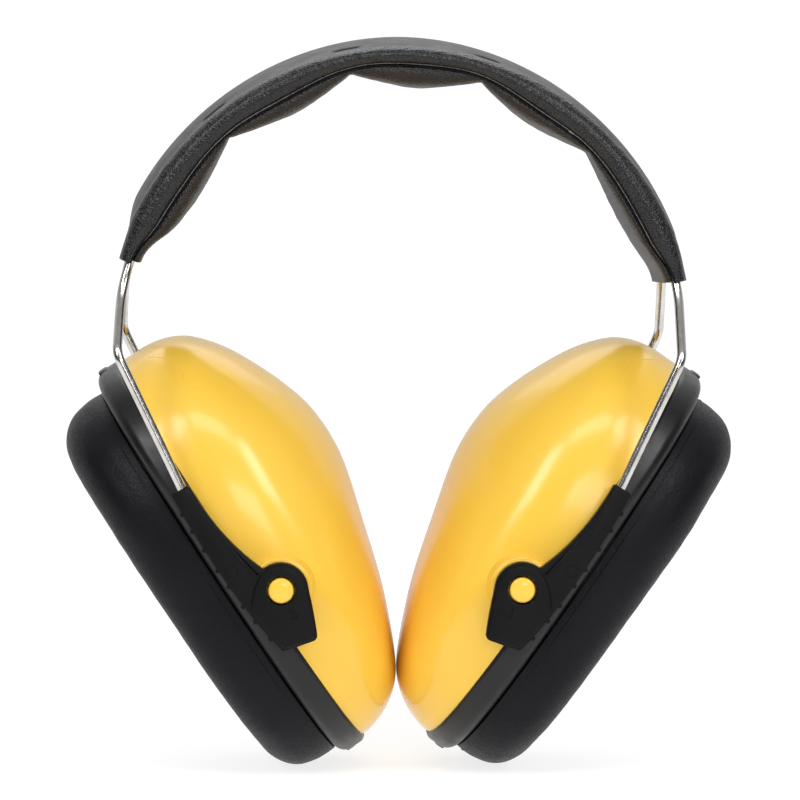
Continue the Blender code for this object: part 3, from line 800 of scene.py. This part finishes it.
def arm_details(facing):
    """Ridges round the pocket, a plain ring, a lip round the pin's hole and nibs on the outer edge."""
    level = facing * (ARM_OUTER - 0.02)
    details = []
    for path in (
        [(-12.3, 11.0), (-9.0, 7.3), (-5.0, 2.9)],
        [(-12.3, 11.0), (-7.6, 5.3), (-6.2, 3.1)],
    ):
        points = [(x, level, z) for x, z in spline(path, 8)]
        details.append(tube_mesh("ridge", points, 0.16, 8))
    ring = circle((-10.3, 3.9), 1.25, level, 32)
    details.append(tube_mesh("moulding_ring", ring, 0.1, 6, True))
    ring = circle((0.0, 0.0), ARM_HOLE + 0.1, facing * (ARM_PAD - 0.03), 48)
    details.append(tube_mesh("hole_lip", ring, 0.14, 8, True))
    edge = bezier((0.1, -12.6), (-9.7, -3.1), (-22.8, 19.6), 60)
    walked = 0.0
    goal = NIB_FIRST
    for (x0, z0), (x1, z1) in zip(edge, edge[1:]):
        walked += math.hypot(x1 - x0, z1 - z0)
        if walked >= goal:
            goal += NIB_STEP
            start = (x1, facing * (ARM_OUTER - 0.55), z1)
            end = (x1, facing * (ARM_OUTER - 0.05), z1)
            details.append(cylinder_mesh(start, end, NIB_RADIUS, 12))
    return details


# Headband -------------------------------------------------------------------------------------


def arch_table():
    angle = np.linspace(0, np.pi / 2, 4001)
    x = ARCH_HALF_SPAN * np.sin(angle) ** (2 / ARCH_ROUNDNESS)
    z = ARCH_BASE + ARCH_RISE * np.maximum(np.cos(angle), 0) ** (2 / ARCH_ROUNDNESS)
    walked = np.concatenate([[0], np.cumsum(np.hypot(np.diff(x), np.diff(z)))])
    return walked, x, z


ARCH = arch_table()


def on_arch(s):
    walked, x, z = ARCH
    s = np.asarray(s, float)
    across = np.sign(s) * np.interp(abs(s), walked, x)
    up = np.interp(abs(s), walked, z)
    return np.stack([across, np.zeros_like(s), up], axis=-1)


def arch_points(s, y, depth, skew=BAND_SKEW):
    """Points at distance s from the crown, from y and depth under the arch, shifted along it by the skew."""
    y, depth = np.asarray(y, float), np.asarray(depth, float)
    s = s + skew * y / 28.0 * (1 - math.exp(-((s / 25.0) ** 2)))
    run = on_arch(s + 1.0) - on_arch(s - 1.0)
    run /= np.linalg.norm(run, axis=1)[:, None]
    outward = np.stack([-run[:, 2], np.zeros(len(y)), run[:, 0]], axis=-1)
    return on_arch(s) - depth[:, None] * outward + y[:, None] * np.array((0.0, 1.0, 0.0))


def scallop_phase(s):
    """0 and 1 at the valleys. The two end scallops run on to the sleeve's ends."""
    steps = abs(s - BAND_SHIFT) / SCALLOP
    if steps > 1.5:
        steps = 1.5 + (abs(s - BAND_SHIFT) - 1.5 * SCALLOP) / (BAND_HALF_LENGTH - 1.5 * SCALLOP)
    return (math.copysign(steps, s - BAND_SHIFT) + 0.5) % 1.0


def chord_swell(s):
    """0 at the valleys between the scallops, 1 half-way, smooth all along the band."""
    return 0.5 - 0.5 * math.cos(2 * math.pi * scallop_phase(s))


def end_pinch(s):
    """1 along the band, falling to 0 at the sleeve's ends."""
    left = BAND_HALF_LENGTH - abs(s - BAND_SHIFT)
    t = min(max(left / 11.0, 0.0), 1.0)
    return t * t * (3 - 2 * t)


def seam_depth(s):
    return 5.3 - 2.0 * math.exp(-(((s - 5.0) / 28.0) ** 2)) + 0.7 * chord_swell(s)


def cover_half(s):
    """Outer and inner (y, depth) points: from the web over the roll to the seam, and back inside."""
    pinch = end_pinch(s)
    seam = 3.6 + (seam_depth(s) - 3.6) * pinch
    thick = 0.75 + 0.25 * pinch
    roll = 1.0 + 0.05 * chord_swell(s)
    top = 0.3 + 0.5 * (1 - pinch)
    keys = [
        (20.5, 2.55), (22.0, 2.4), (22.9, 1.9), (23.6, 1.15),
        (24.5, 0.5 + top), (25.8, 0.08 + top), (WIRE_LANE, 0.0 + top), (28.6, 0.3 + top),
        (29.7, top + 0.18 * seam), (30.35, top + 0.36 * seam), (30.4, 0.6 * seam), (30.0, 0.8 * seam),
    ]
    stretched = []
    for y, depth in keys:
        widened = roll * (thick if y > WIRE_LANE else 1.0)
        stretched.append((WIRE_LANE + (y - WIRE_LANE) * widened, depth))
    outer = spline(stretched, 3)
    edge = [(29.65, 0.89 * seam), (29.35, 0.96 * seam), (29.1, seam)]
    inner = [
        (28.2, seam), (28.7, 3.3), (28.4, 2.0), (WIRE_LANE, 1.45),
        (25.8, 1.7), (25.0, 2.7), (24.2, 3.5), (20.5, 3.55),
    ]
    inner = [(y, min(d, seam)) for y, d in inner]
    return list(outer) + edge, inner


def halves(name, rings, full_mesh, material_rows, materials):
    """Left and right halves of a band piece, cut at the crown, with the whole piece's smooth normals."""
    full_mesh.shade_smooth()
    count = len(rings[0])
    normals = np.array([v.normal for v in full_mesh.vertices])
    middle = len(rings) // 2
    made = {}
    for side, rows in (("left", range(0, middle + 1)), ("right", range(middle, len(rings)))):
        part = [rings[r] for r in rows]
        mesh = rings_mesh(name, part, caps=True)
        if material_rows is not None:
            indices = np.zeros(len(mesh.polygons), int)
            for r in range(len(part) - 1):
                indices[r * count : (r + 1) * count] = material_rows
            mesh.polygons.foreach_set("material_index", indices)
        piece = add_piece(f"{side}_{name}", mesh, materials, 180)
        kept = normals[rows[0] * count : (rows[-1] + 1) * count]
        mesh.normals_split_custom_set_from_vertices([tuple(v) for v in kept])
        made[side] = piece
    return made


def equal_halves(half_length, count):
    left = np.linspace(BAND_SHIFT - half_length, 0, count)
    right = np.linspace(0, BAND_SHIFT + half_length, count)
    return np.concatenate([left, right[1:]])


def leg_blend(piece):
    """Bakes a band piece's transform into its mesh."""
    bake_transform(piece)


PLATE_SEAT = 22.8


def cover_ring(s):
    """The whole cover's (y, depth) at s, with small folds in the leather outside the top plate."""
    outer, inner = cover_half(s)
    half = np.array(outer + inner)
    y = np.concatenate([half[:, 0], -half[::-1, 0]])
    depth = np.concatenate([half[:, 1], half[::-1, 1]])
    last = len(y) - 1
    for i, (a, d) in enumerate(zip(y.copy(), depth.copy())):
        from_web = min(i, last - i)
        if abs(a) > PLATE_SEAT and from_web < len(outer) - 2:
            place = Vector((s * 0.55 + abs(a) * 0.5 + d * 0.6, a * 0.35 - s * 0.12, d * 0.5))
            folds = noise.noise(place) * 0.10 + noise.noise(place * 2.7) * 0.045
            depth[i] = d + folds * end_pinch(s)
            y[i] = a + math.copysign(folds * 0.6, a)
    return y, depth


def edge_strip_row():
    """1 for the cover's faces that are its smooth sewn edges, and 0 for the leather."""
    outer, inner = cover_half(0.0)
    last = 2 * len(outer + inner) - 1
    row = np.zeros(last + 1, int)
    row[len(outer) - 3 : len(outer)] = 1
    row[last - len(outer) : last - len(outer) + 3] = 1
    return row


def add_cover():
    rings = [arch_points(s, *cover_ring(s)) for s in equal_halves(BAND_HALF_LENGTH, 150)]
    full = rings_mesh("cover", rings, caps=True)
    finishes = [BAND_LEATHER, STRIP_LEATHER]
    made = halves("leather_sleeve", rings, full, edge_strip_row(), finishes)
    for side, mirror in SIDES:
        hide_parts("headband_cover")
        leg_blend(made[side])


# The top plate's slots: places along the sleeve from its middle, each left and right of it, front and rear.
SLOTS = [15.4, 46.2]
SLOT_LANE, SLOT_HALF_LENGTH, SLOT_HALF_WIDTH = 14.5, 2.7, 0.95
PLATE_HALF_WIDTH = 22.05


def dimple(s, y):
    """How deep the top plate is pressed in around its slots."""
    depth = 0.0
    for place in SLOTS:
        for sign in (-1, 1):
            along = (s - BAND_SHIFT - sign * place) / SLOT_HALF_LENGTH
            across = (abs(y) - SLOT_LANE) / SLOT_HALF_WIDTH
            core = math.exp(-(abs(along) ** 4 + abs(across) ** 4))
            dish = math.exp(-((along / 2.2) ** 2 + (across / 3.2) ** 2))
            depth += 0.9 * core + 0.3 * dish
    return depth


def plate_top(s, y):
    """Depth of the plate's top: crowned across the band, pressed in at the slots and lower at its rims."""
    crest = 2.1 * end_pinch(s) * (1 - (y / 22.1) ** 2) ** 0.8
    return 1.3 + dimple(s, y) + 0.25 * (abs(y) > 21.9) - crest


def add_plate():
    flat = np.linspace(-21.8, 21.8, 131)
    y_top = np.concatenate([[-PLATE_HALF_WIDTH], flat, [PLATE_HALF_WIDTH]])
    rings = []
    for s in equal_halves(BAND_HALF_LENGTH - 4.0, 170):
        top = [plate_top(s, y) for y in y_top]
        y = np.concatenate([y_top, [PLATE_HALF_WIDTH, -PLATE_HALF_WIDTH]])
        depth = np.concatenate([top, [2.1, 2.1]])
        rings.append(arch_points(s, y, depth))
    full = rings_mesh("plate", rings, caps=True)
    made = halves("top_plate", rings, full, None, [PLATE_BLACK])
    for side, mirror in SIDES:
        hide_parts("headband_plate")
        leg_blend(made[side])


def pad_depth(s):
    """Depth of the pad's lower edge: pointed valleys between five round scallops."""
    valley = 4.9 + 1.1 * min(1.0, ((s - 5.0) / 42.0) ** 2)
    belly = 8.8 - 0.0125 * s
    return valley + (belly - valley) * abs(math.sin(math.pi * scallop_phase(s))) ** 0.8


PAD_TOP_POINTS = 12


def pad_ring(s):
    """(y, depth) round the pad: down its front, under it, up its rear and back along its top."""
    pinch = end_pinch(s)
    top = 3.7 + (seam_depth(s) + 0.1 - 3.7) * pinch
    wall = 1.8 + (pad_depth(s) - seam_depth(s) - 1.8) * pinch
    deep = top + wall
    swell = chord_swell(s)
    keys = [
        (28.6, top), (28.9 + 0.3 * swell, top + 0.3 * wall), (28.6 + 0.2 * swell, top + 0.62 * wall),
        (27.3, top + 0.88 * wall), (24.8, deep - 0.02), (20.0, deep + 0.35 * swell),
        (13.0, deep + 0.7 * swell), (6.0, deep + 0.85 * swell), (0.0, deep + 0.9 * swell),
    ]
    half = spline(keys, 3)
    y = np.concatenate([half[:, 0], -half[-2::-1, 0]])
    depth = np.concatenate([half[:, 1], half[-2::-1, 1]])
    top_y = np.linspace(-27.5, 27.5, PAD_TOP_POINTS)
    y = np.concatenate([y, top_y])
    depth = np.concatenate([depth, np.full(PAD_TOP_POINTS, top)])
    return y, depth


def add_pad():
    """Scalloped pad, swollen as cloth under pressure with its seams and valleys held."""
    places = equal_halves(BAND_HALF_LENGTH - 0.5, 96)
    rings = [arch_points(s, *pad_ring(s)) for s in places]
    count = len(rings[0])
    mesh = rings_mesh("pad", rings, caps=True)
    work = bpy.data.objects.new("pad_work", mesh)
    bpy.context.scene.collection.objects.link(work)
    fixed = set()
    for r, s in enumerate(places):
        for i in range(count):
            seam = i < 2 or i >= count - PAD_TOP_POINTS - 2
            if seam or chord_swell(s) < 0.06 or end_pinch(s) < 0.5:
                fixed.add(r * count + i)
    index = {tuple(np.round(v.co, 7)): v.index for v in mesh.vertices}
    cloth_puff(work, 0.9, lambda co: 1.0 if index[tuple(np.round(co, 7))] in fixed else 0.0)
    points = np.array([v.co for v in mesh.vertices]) / MM
    bpy.data.objects.remove(work)
    for r, s in enumerate(places):
        pinch = end_pinch(s)
        for i in range(count - PAD_TOP_POINTS):
            row = r * count + i
            place = Vector(points[row])
            crease = noise.noise(Vector((s * 0.42, place.y * 0.1, 5.0))) * 0.09
            crease += noise.noise(place * 0.5) * 0.06
            centre = on_arch(s) * 0.2 + np.array((0, 0, 95.0)) * 0.8
            towards = centre - points[row]
            towards[1] = 0
            points[row] += towards / np.linalg.norm(towards) * crease * pinch
    rings = [points[r * count : (r + 1) * count] for r in range(len(places))]
    full = rings_mesh("pad", rings, caps=True)
    made = halves("scalloped_pad", rings, full, None, [PAD_LEATHER])
    for side, mirror in SIDES:
        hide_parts("headband_pad")
        leg_blend(made[side])


# Each welt's extra depth, distance from the middle plane and finish.
SEAMS = ((-0.1, 29.3, THREAD), (0.35, 29.15, STRIP_LEATHER))
SEAM_POINTS = 110


def seam_points(side, facing, rise, reach):
    places = equal_halves(BAND_HALF_LENGTH - 0.6, SEAM_POINTS)
    points = []
    for s in places[:SEAM_POINTS] if side == "left" else places[SEAM_POINTS - 1 :]:
        pinch = end_pinch(s)
        depth = 3.6 + (seam_depth(s) - 3.6) * pinch + rise
        width = WIRE_LANE + (reach - WIRE_LANE) * (0.75 + 0.25 * pinch)
        points.append(arch_points(s, [facing * width], [depth])[0])
    return points


def add_seams():
    """Two thin welts along the front and rear edge, where the sleeve is sewn to the pad."""
    for side, mirror in SIDES:
        for face, facing in FACES:
            for number, (rise, reach, made) in enumerate(SEAMS):
                mesh = tube_mesh("seam", seam_points(side, facing, rise, reach), 0.13, 8)
                seam = add_piece(f"{side}_{face}_seam_{number}", mesh, made, 180)
                leg_blend(seam)


# Wires ----------------------------------------------------------------------------------------


def fillet(before, corner, after, reach, points):
    """A smooth bend at the corner that starts and ends at the given reach from it."""
    start = corner + (before - corner) / np.linalg.norm(before - corner) * reach
    end = corner + (after - corner) / np.linalg.norm(after - corner) * reach
    t = (np.arange(points + 1) / points)[:, None]
    return list(start * (1 - t) ** 2 + corner * 2 * t * (1 - t) + end * t * t)


# Where the wire leaves the arch, its step along the arch, and its straight run from there to its corner.
WIRE_ARCH_END, WIRE_STEP, WIRE_RUN = 80.0, 1.6, 6.5


def add_wire(side, mirror, face, facing):
    """One spring wire from the crown to inside the arm: arch, short straight run, bend, leg."""
    lane = np.array((0.0, facing * WIRE_SPREAD, 0.0))
    pin = np.array((-PIN_X, 0.0, PIN_Z))
    places = np.arange(0, WIRE_ARCH_END, WIRE_STEP)
    path = [arch_points(-s, [facing * WIRE_LANE], [WIRE_DEPTH], 0.0)[0] for s in places]
    run = (path[-1] - path[-2]) / np.linalg.norm(path[-1] - path[-2])
    corner = path[-1] + run * WIRE_RUN
    bend = pin + wire_line(-WIRE_BEND[side]) + lane
    tip = pin + wire_line(WIRE_GRIP) + lane
    path += fillet(path[-1], corner, bend, 0.98 * np.linalg.norm(corner - path[-1]), 14)
    path += fillet(corner, bend, tip, 2.2, 12)
    last = path[-1]
    path += [last + (tip - last) * t for t in (0.25, 0.5, 0.75, 1.0)]
    path = np.array(path) * (mirror, 1, 1)
    mesh = tube_mesh("wire", path, WIRE_RADIUS, 24)
    wire = add_piece(f"{side}_{face}_spring", mesh, CHROME, 50)
    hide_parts(f"{face}_wire_crown", f"{side}_{face}_wire")
    leg_blend(wire)


# Studio ---------------------------------------------------------------------------------------


def add_camera():
    data = bpy.data.cameras.new("camera")
    data.lens = CAMERA_LENS
    data.sensor_width = 36.0
    data.clip_end = 20
    camera = bpy.data.objects.new("camera", data)
    bpy.context.scene.collection.objects.link(camera)
    flat = math.cos(CAMERA_ELEVATION)
    back = Vector((
        math.sin(CAMERA_AZIMUTH) * flat, -math.cos(CAMERA_AZIMUTH) * flat, math.sin(CAMERA_ELEVATION)
    ))
    camera.location = CAMERA_AIM + back * CAMERA_DISTANCE
    camera.rotation_euler = (-back).to_track_quat("-Z", "Y").to_euler()
    bpy.context.scene.camera = camera


def add_light(name, place, aim, size, power):
    data = bpy.data.lights.new(name, "AREA")
    data.shape = "RECTANGLE"
    data.size, data.size_y = size
    data.energy = power
    light = bpy.data.objects.new(name, data)
    light.location = place
    light.rotation_euler = (Vector(aim) - Vector(place)).to_track_quat("-Z", "Y").to_euler()
    bpy.context.scene.collection.objects.link(light)


def add_studio():
    mesh = bpy.data.meshes.new("floor")
    bm = bmesh.new()
    bmesh.ops.create_grid(bm, x_segments=2, y_segments=2, size=0.42)
    bm.to_mesh(mesh)
    bm.free()
    floor = bpy.data.objects.new("floor", mesh)
    floor.location.z = -0.0004
    bpy.context.scene.collection.objects.link(floor)
    made = Nodes("floor_white", 0.8, colour=(0.3, 0.3, 0.3), Specular_IOR_Level=0.05)
    made.set("Emission Color", (1, 1, 1, 1))
    made.set("Emission Strength", 0.8)
    made.roughness(made.ramp(made.noise(3, 2), 0.3, 0.7, 0.75, 0.85))
    mesh.materials.append(made.material)

    add_world()
    for side, mirror in SIDES:
        add_light(side + "_window", (-0.75 * mirror, -0.9, 0.85), (0, 0, 0.08), (0.4, 0.6), 6.6)
    add_light("front", (0.0, -1.0, 1.3), (0, 0, 0.08), (0.9, 0.35), 5.6)
    add_light("low_front", (0.25, -1.45, 0.36), (0, 0, 0.09), (0.5, 0.3), 3.0)
    add_light("rear", (0.0, 0.85, 0.85), (0, 0, 0.1), (1.0, 0.6), 1.6)


def add_world():
    """A studio that is white to the camera, and lights the object softly from above and behind."""
    world = bpy.data.worlds.new("studio")
    world.use_nodes = True
    tree = world.node_tree
    white = tree.nodes["Background"]
    white.inputs["Color"].default_value = (1, 1, 1, 1)
    white.inputs["Strength"].default_value = 1.05
    coordinates = tree.nodes.new("ShaderNodeTexCoord")
    split = tree.nodes.new("ShaderNodeSeparateXYZ")
    tree.links.new(coordinates.outputs["Generated"], split.inputs["Vector"])
    shares = []
    for axis, low, high, dim, bright in (("Y", -0.1, 0.8, 0.04, 0.85), ("Z", 0.1, 0.9, 0.0, 0.38)):
        fade = tree.nodes.new("ShaderNodeMapRange")
        fade.interpolation_type = "SMOOTHSTEP"
        set_range(fade, low, high, dim, bright)
        tree.links.new(split.outputs[axis], fade.inputs["Value"])
        shares.append(fade.outputs["Result"])
    total = tree.nodes.new("ShaderNodeMath")
    for socket, share in zip(total.inputs, shares):
        tree.links.new(share, socket)
    room = tree.nodes.new("ShaderNodeBackground")
    tree.links.new(total.outputs["Value"], room.inputs["Strength"])
    path = tree.nodes.new("ShaderNodeLightPath")
    mix = tree.nodes.new("ShaderNodeMixShader")
    tree.links.new(path.outputs["Is Camera Ray"], mix.inputs["Fac"])
    tree.links.new(room.outputs["Background"], mix.inputs[1])
    tree.links.new(white.outputs["Background"], mix.inputs[2])
    tree.links.new(mix.outputs["Shader"], tree.nodes["World Output"].inputs["Surface"])
    bpy.context.scene.world = world


def main():
    for side, mirror in SIDES:
        add_shell(side)
        add_rim(side)
        add_liner(side)
        add_cushion(side)
        finish_cup_nodes(side)
        for face, facing in FACES:
            add_arm(side, mirror, face, facing)
    add_cover()
    add_plate()
    add_pad()
    add_seams()
    for side, mirror in SIDES:
        for face, facing in FACES:
            add_wire(side, mirror, face, facing)
    add_studio()
    add_camera()
    bpy.context.scene.view_settings.view_transform = "Standard"


main()
